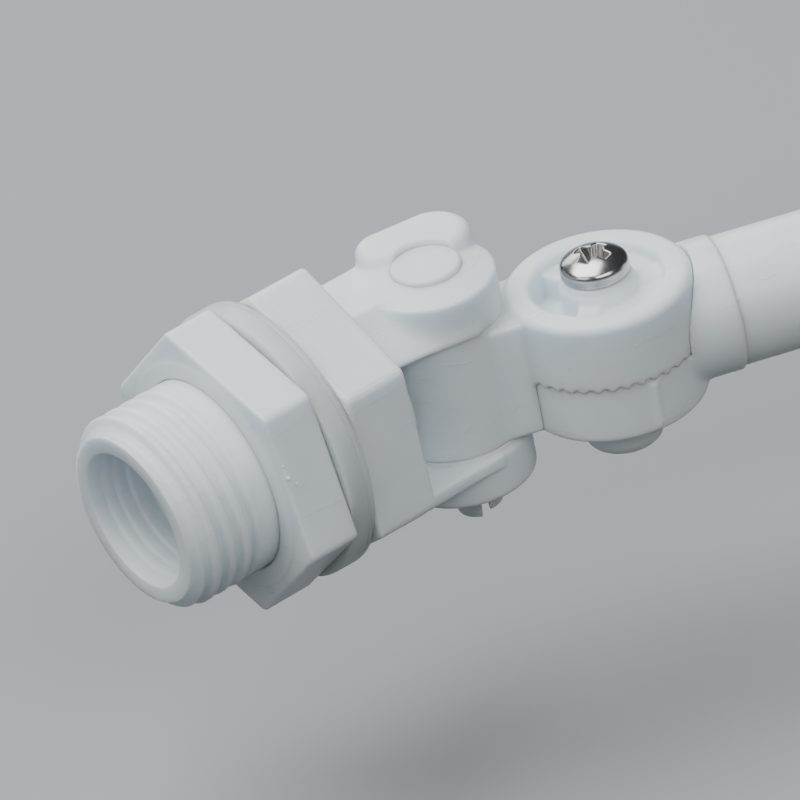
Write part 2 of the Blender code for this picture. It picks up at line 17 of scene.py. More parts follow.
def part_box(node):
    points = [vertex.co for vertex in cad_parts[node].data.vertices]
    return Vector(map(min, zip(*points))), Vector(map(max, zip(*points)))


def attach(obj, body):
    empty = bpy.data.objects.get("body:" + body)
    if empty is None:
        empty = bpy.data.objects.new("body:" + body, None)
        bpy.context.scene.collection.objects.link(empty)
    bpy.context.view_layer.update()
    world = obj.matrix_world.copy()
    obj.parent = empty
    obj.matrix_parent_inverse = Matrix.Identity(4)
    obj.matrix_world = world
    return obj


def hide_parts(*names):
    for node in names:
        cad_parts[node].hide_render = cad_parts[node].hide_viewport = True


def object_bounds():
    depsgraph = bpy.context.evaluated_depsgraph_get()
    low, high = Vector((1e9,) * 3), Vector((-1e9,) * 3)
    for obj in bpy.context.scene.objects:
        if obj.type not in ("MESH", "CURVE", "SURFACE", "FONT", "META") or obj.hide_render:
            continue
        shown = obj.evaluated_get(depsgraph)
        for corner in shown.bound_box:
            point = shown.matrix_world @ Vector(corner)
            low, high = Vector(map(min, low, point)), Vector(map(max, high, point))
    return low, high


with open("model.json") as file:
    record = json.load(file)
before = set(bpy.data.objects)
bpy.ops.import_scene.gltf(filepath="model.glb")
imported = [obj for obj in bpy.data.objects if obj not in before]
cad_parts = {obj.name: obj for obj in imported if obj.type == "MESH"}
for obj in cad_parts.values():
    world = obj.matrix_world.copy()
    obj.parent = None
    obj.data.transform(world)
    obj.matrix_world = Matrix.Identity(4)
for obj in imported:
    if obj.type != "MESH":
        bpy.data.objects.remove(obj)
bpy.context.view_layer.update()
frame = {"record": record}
MM = 0.001

JOINTS = {joint["name"]: joint for joint in frame["record"]["behaviour"]["joints"]}


def joint_point(name):
    """A joint's place at rest, in millimetres."""
    return [value / MM for value in JOINTS[name]["pos_m"]]


def joint_axis(name):
    """A joint's axis."""
    return JOINTS[name]["axis"]


PIN_X, PIN_Y, _ = joint_point("lever_pivot")
SCREW_X, SCREW_Y, _ = joint_point("arm_adjust")
ARM_ANGLE = math.atan2(joint_axis("float_turn")[1], joint_axis("float_turn")[0])


def node_span(node, axis):
    """A CAD node's lowest and highest value along an axis, in millimetres."""
    low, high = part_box(node)
    return low[axis] / MM, high[axis] / MM


# ---------------------------------------------------------------- implicit shapes

def blend_round(first, second, rounding):
    """The distance to the overlap of two slabs, with the outside edge rounded."""
    a, b = first + rounding, second + rounding
    outside = np.sqrt(np.maximum(a, 0) ** 2 + np.maximum(b, 0) ** 2)
    return np.minimum(np.maximum(a, b), 0) + outside - rounding


def join(a, b, soft=0.0):
    """The union of two shapes, with a fillet of about the soft width."""
    if not soft:
        return np.minimum(a, b)
    h = np.maximum(soft - np.abs(a - b), 0) / soft
    return np.minimum(a, b) - h * h * soft / 4


def overlap(a, b, soft=0.0):
    """What is inside both shapes."""
    return -join(-a, -b, soft)


def cut(a, b, soft=0.0):
    """The first shape without the second."""
    return -join(-a, b, soft)


def between(value, low, high):
    """The distance to a slab."""
    return np.abs(value - (low + high) / 2) - (high - low) / 2


def post(p, centre, radius, low, high, rounding=0.0):
    """An upright cylinder."""
    around = np.hypot(p[0] - centre[0], p[1] - centre[1]) - radius
    return blend_round(around, between(p[2], low, high), rounding)


def rod(p, radius, low, high, rounding=0.0):
    """A cylinder on the valve's axis."""
    return blend_round(np.hypot(p[1], p[2]) - radius, between(p[0], low, high), rounding)


def long_post(p, first, second, low, high, rounding):
    """An upright block with round ends of unlike radius. Each end is (x, y, radius)."""
    run_x, run_y = second[0] - first[0], second[1] - first[1]
    part = ((p[0] - first[0]) * run_x + (p[1] - first[1]) * run_y) / (run_x ** 2 + run_y ** 2)
    part = np.clip(part, 0, 1)
    around = np.hypot(p[0] - first[0] - run_x * part, p[1] - first[1] - run_y * part)
    return blend_round(around - first[2] - (second[2] - first[2]) * part, between(p[2], low, high), rounding)


def cone_under(away, height, radius, top, slope):
    """The distance to a cone of the given radius at its top height, wider below by the slope."""
    return (away - radius + (height - top) * slope) / math.hypot(1.0, slope)


def ball(p, centre, radius):
    return np.sqrt(sum((p[i] - centre[i]) ** 2 for i in range(3))) - radius


def block(p, low, high, rounding=0.0):
    """A box with rounded edges."""
    sides = [between(p[i], low[i], high[i]) + rounding for i in range(3)]
    outside = np.sqrt(sum(np.maximum(side, 0) ** 2 for side in sides))
    return np.minimum(np.maximum(np.maximum(sides[0], sides[1]), sides[2]), 0) + outside - rounding


def six_sides(across, up, flat, turn, soft):
    """The distance to six flats round an axis, with a corner at the turn angle."""
    around = np.full_like(across, -1e9)
    for side in range(6):
        angle = turn + math.pi / 6 + side * math.pi / 3
        around = overlap(around, across * math.cos(angle) + up * math.sin(angle) - flat, soft)
    return around


def hexagon(p, corner_r, low, high, turn, rounding):
    """A hexagonal bar on the valve's axis, with a corner at the turn angle from +Y towards +Z."""
    around = six_sides(p[1], p[2], corner_r * math.cos(math.pi / 6), turn, rounding * 1.5)
    return blend_round(around, between(p[0], low, high), rounding)


def arm_frame(p):
    """Turns points into the arm's own axes: along the arm from the clamp screw, across it, and up."""
    x, y = p[0] - SCREW_X, p[1] - SCREW_Y
    c, s = math.cos(ARM_ANGLE), math.sin(ARM_ANGLE)
    return x * c + y * s, y * c - x * s, p[2]


def surface_net(field, low, high, cell):
    """A closed mesh of the surface where a distance function is zero, as vertices and quads."""
    axes = [np.arange(low[i] - 2 * cell, high[i] + 3 * cell, cell, dtype=np.float32) for i in range(3)]
    grid = np.meshgrid(*axes, indexing="ij")
    values = field(grid).astype(np.float32)
    inside = values < 0
    count = np.zeros([n - 1 for n in values.shape], dtype=np.int8)
    corners = [(i, j, k) for i in (0, 1) for j in (0, 1) for k in (0, 1)]
    nx, ny, nz = count.shape
    for i, j, k in corners:
        count += inside[i:nx + i, j:ny + j, k:nz + k]
    cells = np.argwhere((count > 0) & (count < 8))
    corner_values = np.stack([values[cells[:, 0] + i, cells[:, 1] + j, cells[:, 2] + k]
                              for i, j, k in corners], axis=1)
    total = np.zeros((len(cells), 3))
    hits = np.zeros(len(cells))
    for a, corner_a in enumerate(corners):
        for b, corner_b in enumerate(corners):
            step = np.subtract(corner_b, corner_a)
            if step.sum() != 1 or np.abs(step).sum() != 1:
                continue
            va, vb = corner_values[:, a], corner_values[:, b]
            crossing = (va < 0) != (vb < 0)
            part = np.where(crossing, va / np.where(crossing, va - vb, 1), 0)
            total[crossing] += np.add(corner_a, part[:, None] * step)[crossing]
            hits += crossing
    verts = (cells + total / hits[:, None]) * cell + [axis[0] for axis in axes]
    number = np.full(count.shape, -1, dtype=np.int64)
    number[tuple(cells.T)] = np.arange(len(cells))
    quads = []
    for axis in range(3):
        ahead = [slice(None)] * 3
        behind = [slice(None)] * 3
        ahead[axis], behind[axis] = slice(1, None), slice(None, -1)
        first = inside[tuple(behind)]
        edges = np.argwhere(first != inside[tuple(ahead)])
        leaving = first[tuple(edges.T)]
        u, v = (axis + 1) % 3, (axis + 2) % 3
        ring = []
        for du, dv in ((0, 0), (1, 0), (1, 1), (0, 1)):
            at = edges.copy()
            at[:, u] -= du
            at[:, v] -= dv
            ring.append(number[tuple(at.T)])
        quad = np.stack(ring, axis=1)
        quad[~leaving] = quad[~leaving][:, ::-1]
        quads.append(quad)
    return settle(field, verts, cell), np.concatenate(quads)


def settle(field, verts, cell):
    """Moves vertices onto the true surface, by at most half a cell."""
    step = cell * 0.1
    for _ in range(2):
        here = field([verts[:, i] for i in range(3)])
        slope = []
        for axis in range(3):
            moved = verts.copy()
            moved[:, axis] += step
            slope.append((field([moved[:, i] for i in range(3)]) - here) / step)
        slope = np.stack(slope, axis=1)
        length = np.maximum((slope ** 2).sum(axis=1), 0.25)
        shift = -(here / length)[:, None] * slope
        size = np.maximum(np.linalg.norm(shift, axis=1), 1e-9)
        verts = verts + shift * np.minimum(1, cell * 0.5 / size)[:, None]
    return verts


# ---------------------------------------------------------------- meshes

def add_mesh(name, verts, faces, material, body, slot, replaces=()):
    """One piece from vertices in millimetres, smooth shaded, riding on its body."""
    mesh = bpy.data.meshes.new(name)
    mesh.from_pydata((np.asarray(verts) * MM).tolist(), [], [list(face) for face in faces])
    mesh.validate()
    mesh.shade_smooth()
    mesh.materials.append(material)
    piece = bpy.data.objects.new(name, mesh)
    bpy.context.scene.collection.objects.link(piece)
    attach(piece, body)
    for node in replaces:
        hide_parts(node)
    return piece


def moulded(name, field, low, high, cell, *about):
    verts, quads = surface_net(field, low, high, cell)
    return add_mesh(name, verts, quads.tolist(), *about)


def round_corners(profile, radius, steps=4):
    """Replaces each corner of an open profile by an arc of the given radius. Ends stay."""
    points = [Vector(point) for point in profile]
    result = [points[0]]
    for before, corner, after in zip(points, points[1:], points[2:]):
        inward, onward = before - corner, after - corner
        turn = inward.angle(onward) if inward.length and onward.length else math.pi
        reach = min(radius / max(math.tan(turn / 2), 0.05), inward.length * 0.45, onward.length * 0.45)
        start = corner + inward.normalized() * reach
        end = corner + onward.normalized() * reach
        for step in range(steps + 1):
            t = step / steps
            result.append(start * (1 - t) ** 2 + corner * 2 * t * (1 - t) + end * t ** 2)
    result.append(points[-1])
    return [(point.x, point.y) for point in result]


def place_axial(u, v, w):
    """Swept pieces on the valve's axis: w runs along +X."""
    return w, u, v


def place_arm(u, v, w):
    """Swept pieces on the arm: w runs along it from the clamp screw."""
    c, s = math.cos(ARM_ANGLE), math.sin(ARM_ANGLE)
    return SCREW_X + w * c - u * s, SCREW_Y + w * s + u * c, v


def swept(name, profile, place, steps, about, wobble=None):
    """A turned piece. The profile is (radius, height) points down the outer side; where it starts and
    ends off the axis it closes on itself. wobble(radius, height, angle) may change the radius."""
    on_axis = abs(profile[0][0]) < 1e-6 and abs(profile[-1][0]) < 1e-6
    inner = profile[1:-1] if on_axis else profile
    radius = np.array([point[0] for point in inner])[None, :]
    height = np.array([point[1] for point in inner])[None, :]
    angle = np.linspace(0, 2 * math.pi, steps, endpoint=False)[:, None]
    radius = radius + 0 * angle
    height = height + 0 * angle
    if wobble:
        radius = wobble(radius, height, angle)
    x, y, z = place(radius * np.cos(angle), radius * np.sin(angle), height)
    verts = np.stack([x, y, z], axis=-1).reshape(-1, 3)
    rows = len(inner)
    faces = []
    for i in range(steps):
        j = (i + 1) % steps
        for k in range(rows - 1 if on_axis else rows):
            after = (k + 1) % rows
            faces.append((i * rows + k, i * rows + after, j * rows + after, j * rows + k))
    if on_axis:
        top, bottom = len(verts), len(verts) + 1
        ends = [np.array(place(0.0, 0.0, profile[end][1]))[None, :] for end in (0, -1)]
        verts = np.concatenate([verts] + ends)
        for i in range(steps):
            j = (i + 1) % steps
            faces.append((top, i * rows, j * rows))
            faces.append((bottom, j * rows + rows - 1, i * rows + rows - 1))
    piece = add_mesh(name, verts, faces, *about)
    orient(piece)
    return piece


def orient(piece):
    """Turns a closed mesh's faces outwards."""
    mesh = piece.data
    shape = bmesh.new()
    shape.from_mesh(mesh)
    if shape.calc_volume(signed=True) < 0:
        bmesh.ops.reverse_faces(shape, faces=shape.faces)
    shape.to_mesh(mesh)
    shape.free()


# ---------------------------------------------------------------- materials

def new_material(name):
    material = bpy.data.materials.new(name)
    material.use_nodes = True
    tree = material.node_tree
    return material, tree, tree.nodes["Principled BSDF"]


def noise(tree, scale, detail=3.0, roughness=0.5, stretch=None):
    """A noise texture on the object's own coordinates."""
    coords = tree.nodes.new("ShaderNodeTexCoord")
    texture = tree.nodes.new("ShaderNodeTexNoise")
    texture.inputs["Scale"].default_value = scale
    texture.inputs["Detail"].default_value = detail
    texture.inputs["Roughness"].default_value = roughness
    source = coords.outputs["Object"]
    if stretch:
        mapping = tree.nodes.new("ShaderNodeMapping")
        mapping.inputs["Scale"].default_value = stretch
        tree.links.new(source, mapping.inputs["Vector"])
        source = mapping.outputs["Vector"]
    tree.links.new(source, texture.inputs["Vector"])
    return texture.outputs["Fac"]


def ramp(tree, source, stops):
    """A colour ramp over a value."""
    node = tree.nodes.new("ShaderNodeValToRGB")
    elements = node.color_ramp.elements
    while len(elements) < len(stops):
        elements.new(0.5)
    for element, (place, colour) in zip(elements, stops):
        element.position = place
        element.color = (*colour, 1.0)
    tree.links.new(source, node.inputs["Fac"])
    return node.outputs["Color"]


def spread(tree, source, low, high):
    """Maps a 0 to 1 value onto a range."""
    node = tree.nodes.new("ShaderNodeMapRange")
    node.inputs["To Min"].default_value = low
    node.inputs["To Max"].default_value = high
    tree.links.new(source, node.inputs["Value"])
    return node.outputs["Result"]


def bump(tree, shader, layers):
    """Stacks bumps: each layer is (height value, distance in metres, strength)."""
    normal = None
    for height, distance, strength in layers:
        node = tree.nodes.new("ShaderNodeBump")
        node.inputs["Distance"].default_value = distance
        node.inputs["Strength"].default_value = strength
        tree.links.new(height, node.inputs["Height"])
        if normal:
            tree.links.new(normal, node.inputs["Normal"])
        normal = node.outputs["Normal"]
    tree.links.new(normal, shader.inputs["Normal"])


def translucent_plastic(name, colour, shade, rough, radius, weight):
    """White nylon: light spreads a little below the surface, the gloss is uneven, and handling has left
    a few fine scratches."""
    material, tree, shader = new_material(name)
    cloud = noise(tree, 220.0, 4.0)
    fine = noise(tree, 2600.0, 3.0, 0.6)
    pits = noise(tree, 9000.0, 2.0, 0.7)
    scratches = ramp(tree, noise(tree, 420.0, 1.5, 0.4, stretch=(0.10, 1.0, 2.3)),
                     [(0.655, (0.0, 0.0, 0.0)), (0.675, (1.0, 1.0, 1.0)), (0.695, (0.0, 0.0, 0.0))])
    tree.links.new(ramp(tree, cloud, [(0.3, shade), (0.7, colour)]), shader.inputs["Base Color"])
    tree.links.new(spread(tree, fine, rough[0], rough[1]), shader.inputs["Roughness"])
    shader.inputs["IOR"].default_value = 1.53
    shader.inputs["Subsurface Weight"].default_value = weight
    shader.inputs["Subsurface Scale"].default_value = MM
    shader.inputs["Subsurface Radius"].default_value = radius
    bump(tree, shader, [(cloud, 0.00008, 0.35), (fine, 0.00002, 0.35), (pits, 0.000006, 0.3),
                        (scratches, 0.00006, 0.8)])
    return material


def silicone():
    """Clear silicone rubber, cloudy and a little streaked."""
    material, tree, shader = new_material("silicone")
    cloud = noise(tree, 160.0, 3.0)
    fine = noise(tree, 1800.0, 3.0)
    tree.links.new(ramp(tree, cloud, [(0.25, (0.56, 0.615, 0.62)), (0.75, (0.65, 0.705, 0.71))]),
                   shader.inputs["Base Color"])
    tree.links.new(spread(tree, fine, 0.28, 0.46), shader.inputs["Roughness"])
    shader.inputs["IOR"].default_value = 1.41
    shader.inputs["Subsurface Weight"].default_value = 1.0
    shader.inputs["Subsurface Scale"].default_value = MM
    shader.inputs["Subsurface Radius"].default_value = (3.6, 4.0, 4.1)
    streaks = noise(tree, 260.0, 4.0, 0.6, stretch=(3.0, 0.35, 0.35))
    bump(tree, shader, [(cloud, 0.0002, 0.4), (fine, 0.00003, 0.4), (streaks, 0.0002, 0.45)])
    return material


def rubber():
    """Matt black rubber."""
    material, tree, shader = new_material("rubber")
    fine = noise(tree, 3000.0, 4.0)
    tree.links.new(ramp(tree, fine, [(0.3, (0.018, 0.018, 0.018)), (0.7, (0.035, 0.035, 0.034))]),
                   shader.inputs["Base Color"])
    tree.links.new(spread(tree, fine, 0.5, 0.75), shader.inputs["Roughness"])
    bump(tree, shader, [(fine, 0.00003, 0.5)])
    return material


def steel():
    """Polished stainless steel with fine turned scratches."""
    material, tree, shader = new_material("steel")
    cloud = noise(tree, 500.0, 4.0)
    scratch = noise(tree, 6000.0, 2.0, 0.6, stretch=(1.0, 0.12, 0.3))
    tree.links.new(ramp(tree, cloud, [(0.3, (0.42, 0.41, 0.40)), (0.7, (0.58, 0.57, 0.56))]),
                   shader.inputs["Base Color"])
    tree.links.new(spread(tree, scratch, 0.16, 0.30), shader.inputs["Roughness"])
    shader.inputs["Metallic"].default_value = 1.0
    bump(tree, shader, [(scratch, 0.000006, 0.3), (cloud, 0.00002, 0.2)])
    return material


NYLON = translucent_plastic("nylon", colour=(0.835, 0.895, 0.925), shade=(0.79, 0.855, 0.89),
                            rough=(0.34, 0.48), radius=(1.25, 1.4, 1.5), weight=0.95)
ACETAL = translucent_plastic("acetal", colour=(0.80, 0.86, 0.885), shade=(0.755, 0.82, 0.85),
                             rough=(0.30, 0.42), radius=(1.2, 1.35, 1.4), weight=0.85)
SILICONE = silicone()
RUBBER = rubber()
STEEL = steel()


# ---------------------------------------------------------------- inlet shank

THREAD_PITCH = 1.814
CREST_R, ROOT_R = 10.45, 9.84
TIP_X = node_span("valve_body", 0)[0]
TIP_R, BORE_R = 9.05, 7.3
THREAD_END_X, BAND_R = -11.0, 10.38
FLANGE_X = (0.0, 7.2)
SEAT_WALL_X, SEAT_HOLE_R, CYLINDER_R = (-8.6, -7.0), 3.3, 7.6
BORE_STEPS = [(BORE_R, -17.3), (6.95, -17.0), (6.95, -16.1), (6.62, -15.8), (6.62, -14.7), (6.3, -14.4),
              (6.3, -12.8), (6.05, -12.5), (6.05, SEAT_WALL_X[0])]
PROFILE_STEP, MOUTH_EDGE = 0.06, 0.12


def smooth(value, low, high):
    t = np.clip((value - low) / (high - low), 0, 1)
    return t * t * (3 - 2 * t)


def thread(height, angle):
    """The radius of the shank's right-handed thread, which fades in behind the tip and ends at a band."""
    phase = (height - TIP_X) / THREAD_PITCH - angle / (2 * math.pi) + 0.15
    wave = 0.5 + 0.5 * np.cos(2 * math.pi * phase)
    ridged = ROOT_R + (CREST_R - ROOT_R) * smooth(wave, 0.05, 0.9)
    ridged = ridged + (BAND_R - ridged) * smooth(height, THREAD_END_X - 0.35, THREAD_END_X + 0.05)
    run_in = smooth(height, TIP_X + 0.15, TIP_X + 1.7)
    return TIP_R + (ridged - TIP_R) * run_in


def make_shank():
    """The inlet shank: threaded outside, stepped inside, with the seat wall and the piston's cylinder."""
    def threaded(radius, height, angle):
        return np.where(radius > TIP_R + 0.04, thread(height, angle), radius)
    outer = [(ROOT_R, x) for x in np.arange(0.0, TIP_X + 0.05, -PROFILE_STEP)]
    mouth = [(ROOT_R, TIP_X + 0.05), (TIP_R, TIP_X), (BORE_R, TIP_X), BORE_STEPS[0]]
    rim = round_corners(mouth, MOUTH_EDGE, 3)[1:-1]
    bore = round_corners([rim[-1]] + BORE_STEPS + [(SEAT_HOLE_R, SEAT_WALL_X[0])], MOUTH_EDGE, 3)[1:]
    cylinder = [(SEAT_HOLE_R, SEAT_WALL_X[1]), (CYLINDER_R, SEAT_WALL_X[1]), (CYLINDER_R, 0.0)]
    profile = outer + rim + bore + cylinder
    swept("inlet_shank", profile, place_axial, 220, (NYLON, "housing", "white_nylon"), threaded)


# ---------------------------------------------------------------- valve housing

FLANGE_CORNER_R, FLANGE_TURN = 15.6, math.radians(25.5)
NECK_R, NECK_END_X = 11.1, 11.6
SLEEVE_R, SLEEVE_END_X = 8.7, 10.2
STEM_TOP_Y, STEM_TOP_Z = -6.0, 11.6
CROWN_R, CROWN_Z, CROWN_SLOPE = 3.8, 12.15, 3.4
STEM_TAPER = 0.17
HOOD_ENDS = ((16.7, 1.5, 2.9), (21.3, -0.4, 4.0))
PIN = (PIN_X, PIN_Y)
HEAD_R = 3.55
LIP_R, LIP_TOP_Z = 6.84, 6.62
STEM_FAR_Y, STEM_START_X = 2.7, 4.0
LOWER_EAR_Z, HOOD_Z = 12.0, (7.3, 13.3)
OUTLET_Z = (-7.1, 6.8)
PIN_HOLE_R, BARREL_ROOM_R, HEAD_ROOM_Z = 3.0, 7.25, 11.3
CYLINDER_END_X, SHANK_ROOM_R = 14.0, 9.7
FAR = 30


def ear(p, side):
    """One ear: a stem whose near side slopes out to a thin straight edge, and a round boss."""
    taper = STEM_TAPER * (PIN_X - p[0]) * np.clip(-p[1] / 6, 0, 1) if side > 0 else 0.0
    q = (p[0], p[1] - taper, p[2] * side)
    inner, radius, edge = (6.8, 6.8, 0.4) if side > 0 else (7.1, 7.2, 1.4)
    near_y = PIN_Y - radius + (0.1 if side > 0 else -0.15)
    run, rise = near_y - STEM_TOP_Y, inner + edge - STEM_TOP_Z
    slope = ((q[1] - STEM_TOP_Y) * rise - (q[2] - STEM_TOP_Z) * run) / math.hypot(run, rise)
    stem = block(q, (STEM_START_X, near_y, inner), (PIN_X, STEM_FAR_Y, STEM_TOP_Z), 0.2)
    stem = overlap(stem, slope, 0.15)
    if side > 0:
        away = np.hypot(p[0] - PIN_X, p[1] - PIN_Y)
        crown = cone_under(away, q[2], CROWN_R, CROWN_Z, CROWN_SLOPE)
        boss = overlap(post(p, PIN, radius, inner, CROWN_Z, 0.2), crown, 0.2)
        return join(stem, boss, 1.3)
    rib = block(q, (STEM_START_X, near_y, inner), (PIN_X, near_y + 0.9, inner + edge), 0.2)
    lip = post(q, PIN, LIP_R, LIP_TOP_Z, inner + 1, 0.08)
    boss = post(q, PIN, radius, inner, LOWER_EAR_Z, 0.5)
    return join(join(stem, join(rib, lip), 0.15), boss, 0.3)


def housing(p):
    """The flange, a neck that is open between the ears, both ears, the hood and the cylinder's sleeve."""
    flange = hexagon(p, FLANGE_CORNER_R, *FLANGE_X, FLANGE_TURN, 0.35)
    shape = join(flange, rod(p, NECK_R, STEM_START_X, NECK_END_X, 0.5), 0.8)
    outlet = block(p, (FLANGE_X[1], -FAR, OUTLET_Z[0]), (FAR, FAR, OUTLET_Z[1]), 0.1)
    shape = cut(shape, outlet, 0.2)
    shape = join(shape, ear(p, 1), 0.4)
    shape = join(shape, ear(p, -1), 0.4)
    shape = join(shape, long_post(p, *HOOD_ENDS, *HOOD_Z, 1.1), 0.6)
    shape = join(shape, rod(p, SLEEVE_R, STEM_START_X, SLEEVE_END_X, 0.3), 0.3)
    shape = cut(shape, post(p, PIN, BARREL_ROOM_R, -LIP_TOP_Z, OUTLET_Z[1]))
    shape = cut(shape, rod(p, CYLINDER_R, -1.0, CYLINDER_END_X))
    shape = cut(shape, rod(p, SHANK_ROOM_R, -2.0, 1.0))
    shape = cut(shape, post(p, PIN, PIN_HOLE_R, -FAR, FAR))
    return cut(shape, post(p, PIN, HEAD_R - 0.03, HEAD_ROOM_Z, FAR), 0.1)


def make_housing():
    reach = FLANGE_CORNER_R + 0.1
    moulded("valve_housing", housing, (0.0, -reach, -reach), (25.4, reach, reach), 0.2,
            NYLON, "housing", "white_nylon", ("valve_body",))


# ---------------------------------------------------------------- nut and gasket

NUT_CORNER_R, NUT_TURN, NUT_BORE_R = 15.5, math.radians(16.3), 10.47
NUT_X, NUT_RING_R, NUT_RING_X = (-8.67, -2.93), 12.3, -8.84
CHAMFER_R, CHAMFER_SLOPE = 15.35, 1.2
# Small moulding burrs on the near corner: x, y, z and radius
BURRS = [(-8.3, -13.0, 4.5, 0.26), (-7.7, -13.3, 3.7, 0.2), (-8.5, -12.8, 5.9, 0.16),
         (-7.1, -13.3, 3.2, 0.14), (-8.45, -13.5, 2.3, 0.14)]


def make_lock_nut():
    """The nut has a slightly raised ring on its outer face."""
    def nut(p):
        away = np.hypot(p[1], p[2])
        shape = hexagon(p, NUT_CORNER_R, *NUT_X, NUT_TURN, 0.3)
        chamfer = away - CHAMFER_R - (p[0] - NUT_X[0]) * CHAMFER_SLOPE
        shape = overlap(shape, chamfer / math.hypot(1.0, CHAMFER_SLOPE), 0.3)
        shape = join(shape, rod(p, NUT_RING_R, NUT_RING_X, -6.0, 0.15), 0.3)
        for x, y, z, size in BURRS:
            shape = join(shape, ball(p, (x, y, z), size), 0.12)
        return cut(shape, away - NUT_BORE_R, 0.1)
    reach = NUT_CORNER_R + 0.1
    moulded("lock_nut_moulding", nut, (-8.9, -reach, -reach), (-2.9, reach, reach), 0.17,
            NYLON, "lock_nut", "white_nylon", ("lock_nut",))


GASKET_R, GASKET_BORE_R, GASKET_X = 14.5, 10.8, (-2.9, -0.03)


def make_gasket():
    """A soft ring with a fine parting groove. It sits a little high and isn't quite round."""
    middle_r = 13.0

    def uneven(radius, height, angle):
        wave = 0.2 * np.sin(angle) + 0.05 * np.sin(2 * angle + 0.6) + 0.03 * np.sin(5 * angle + 1.1)
        return radius + np.where(radius > middle_r, wave, 0)
    nut_x, flange_x = GASKET_X
    groove = [(GASKET_R + 0.05, -0.62), (GASKET_R - 0.1, -0.74), (GASKET_R + 0.04, -0.86)]
    profile = [(middle_r, flange_x), (GASKET_R, flange_x)] + groove
    profile += [(GASKET_R, nut_x), (middle_r, nut_x), (GASKET_BORE_R, nut_x), (GASKET_BORE_R, flange_x),
                (middle_r, flange_x)]
    swept("gasket_ring", round_corners(profile, 0.13, 3)[:-1], place_axial, 160,
          (SILICONE, "gasket", "clear_silicone", ("sealing_gasket",)), uneven)


# ---------------------------------------------------------------- pivot pin

PIN_R, PIN_HEAD_Z = 2.9, (11.2, 12.65)
PRONG_TIPS, PRONG_TURN, PRONG_LEAN = (-16.3, -15.6), math.radians(62), (0.45, -0.55)
BARB_R, BARB_TOP_Z, SLOT_WIDTH = 3.4, -11.95, 0.76


def make_pivot_pin():
    """The pin's head lies in the upper ear; its split, barbed tip stands out below the lower one."""
    def pin(p):
        x, y = p[0] - PIN_X - PRONG_LEAN[0], p[1] - PIN_Y - PRONG_LEAN[1]
        across = y * math.cos(PRONG_TURN) - x * math.sin(PRONG_TURN)
        head = post(p, PIN, HEAD_R, *PIN_HEAD_Z, 0.3)
        shaft = post(p, PIN, PIN_R, -12.0, 12.5)
        cone = np.hypot(x, y) - BARB_R - (p[2] + 12.6) * 0.32
        barb = overlap(cone, between(p[2], PRONG_TIPS[0] - 0.2, BARB_TOP_Z), 0.3)
        barb = overlap(barb, np.where(across > 0, *PRONG_TIPS) - p[2], 0.25)
        shape = join(join(head, shaft, 0.2), barb, 0.2)
        slot = overlap(np.abs(across + 0.3) - SLOT_WIDTH / 2, p[2] + 9.0)
        return cut(shape, slot, 0.15)
    moulded("pivot_pin_moulding", pin, (PIN_X - 4, PIN_Y - 4, -16.6), (PIN_X + 4, PIN_Y + 4, 13.0), 0.15,
            ACETAL, "housing", "white_acetal", ("pivot_pin",))


# ---------------------------------------------------------------- lever

SCREW = (SCREW_X, SCREW_Y)
DISC_R, DISC_TOP, KNUCKLE_R = 9.5, 6.95, 9.25
TEETH, TOOTH_HALF, PARTING_Z, TOOTH_GAP = 40, 0.2, -0.55, 0.02
TOOTH_SLOPE = 0.8  # keeps the distance to the wavy face true on its flanks
RECESS_R, DEEP_FLOOR_Z, SHALLOW_FLOOR_Z = (3.9, 6.75), 3.4, 5.6
SPOKES = [math.radians(-141 + 120 * spoke) for spoke in range(3)]
SPOKE_HALF, SPOKE_TOP_Z = 1.15, 6.0
BARREL_R, BARREL_Z, CAM_Z = 6.8, (-6.55, 6.72), (-5.0, 5.0)
WEB_U, WEB_V, WEB_Z = (-16.4, -1.0), (-3.42, 5.9), (-6.45, 6.2)
SCREW_HOLE_R, LEVER_BOSS_R, LEVER_BOSS_Z = 1.95, 3.6, (3.0, 7.5)


def serration(p):
    """The height of the wavy face between the lever's disc and the arm's disc."""
    around = np.arctan2(p[1] - SCREW_Y, p[0] - SCREW_X) - ARM_ANGLE
    wave = np.cos(TEETH * around)
    return PARTING_Z + TOOTH_HALF * wave * (1.25 - 0.25 * wave ** 2)


def recess(p):
    """The disc's ring-shaped pocket: three spokes cross it, and only the part next to the ear is deep."""
    x, y = p[0] - SCREW_X, p[1] - SCREW_Y
    away = np.hypot(x, y)
    after_first = y * math.cos(SPOKES[0]) - x * math.sin(SPOKES[0])
    before_last = x * math.sin(SPOKES[2]) - y * math.cos(SPOKES[2])
    floor = np.where(overlap(after_first, before_last) < 0, DEEP_FLOOR_Z, SHALLOW_FLOOR_Z)
    shape = blend_round(between(away, *RECESS_R), floor - p[2], 0.4)
    for angle in SPOKES:
        across = np.abs(y * math.cos(angle) - x * math.sin(angle))
        forward = x * math.cos(angle) + y * math.sin(angle)
        spoke = overlap(overlap(across - SPOKE_HALF, -forward), p[2] - SPOKE_TOP_Z, 0.3)
        shape = cut(shape, spoke, 0.5)
    return shape


